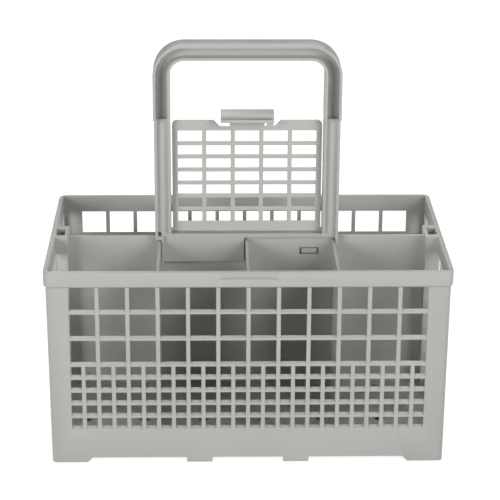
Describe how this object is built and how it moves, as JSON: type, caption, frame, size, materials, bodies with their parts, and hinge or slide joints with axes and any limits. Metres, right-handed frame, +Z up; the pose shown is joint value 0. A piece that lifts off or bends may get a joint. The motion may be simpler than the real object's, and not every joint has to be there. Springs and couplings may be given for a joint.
{
  "type": "dishwasher cutlery basket",
  "caption": "Grey moulded dishwasher cutlery basket with grille walls and dividers, a clip-on carrying handle, and a hinged grille lid that folds over the front compartments.",
  "frame": {"origin": "centre of the outline on the plane that the feet stand on", "axes": "+X along the basket, +Y to the back, away from the side with the lid's catch, +Z up"},
  "size_m": [0.2416, 0.1404, 0.2448],
  "materials": {
    "grey_plastic": "satin"
  },
  "bodies": {
    "basket_with_handle": {"basket": "grey_plastic", "handle": "grey_plastic"},
    "lid": {"lid": "grey_plastic"}
  },
  "joints": [
    {"name": "lid_hinge", "type": "hinge", "parent": "basket_with_handle", "child": "lid", "pos_m": [0, 0.0007, 0.1262], "axis": [1, 0, 0], "range_deg": [0, 90]}
  ]
}
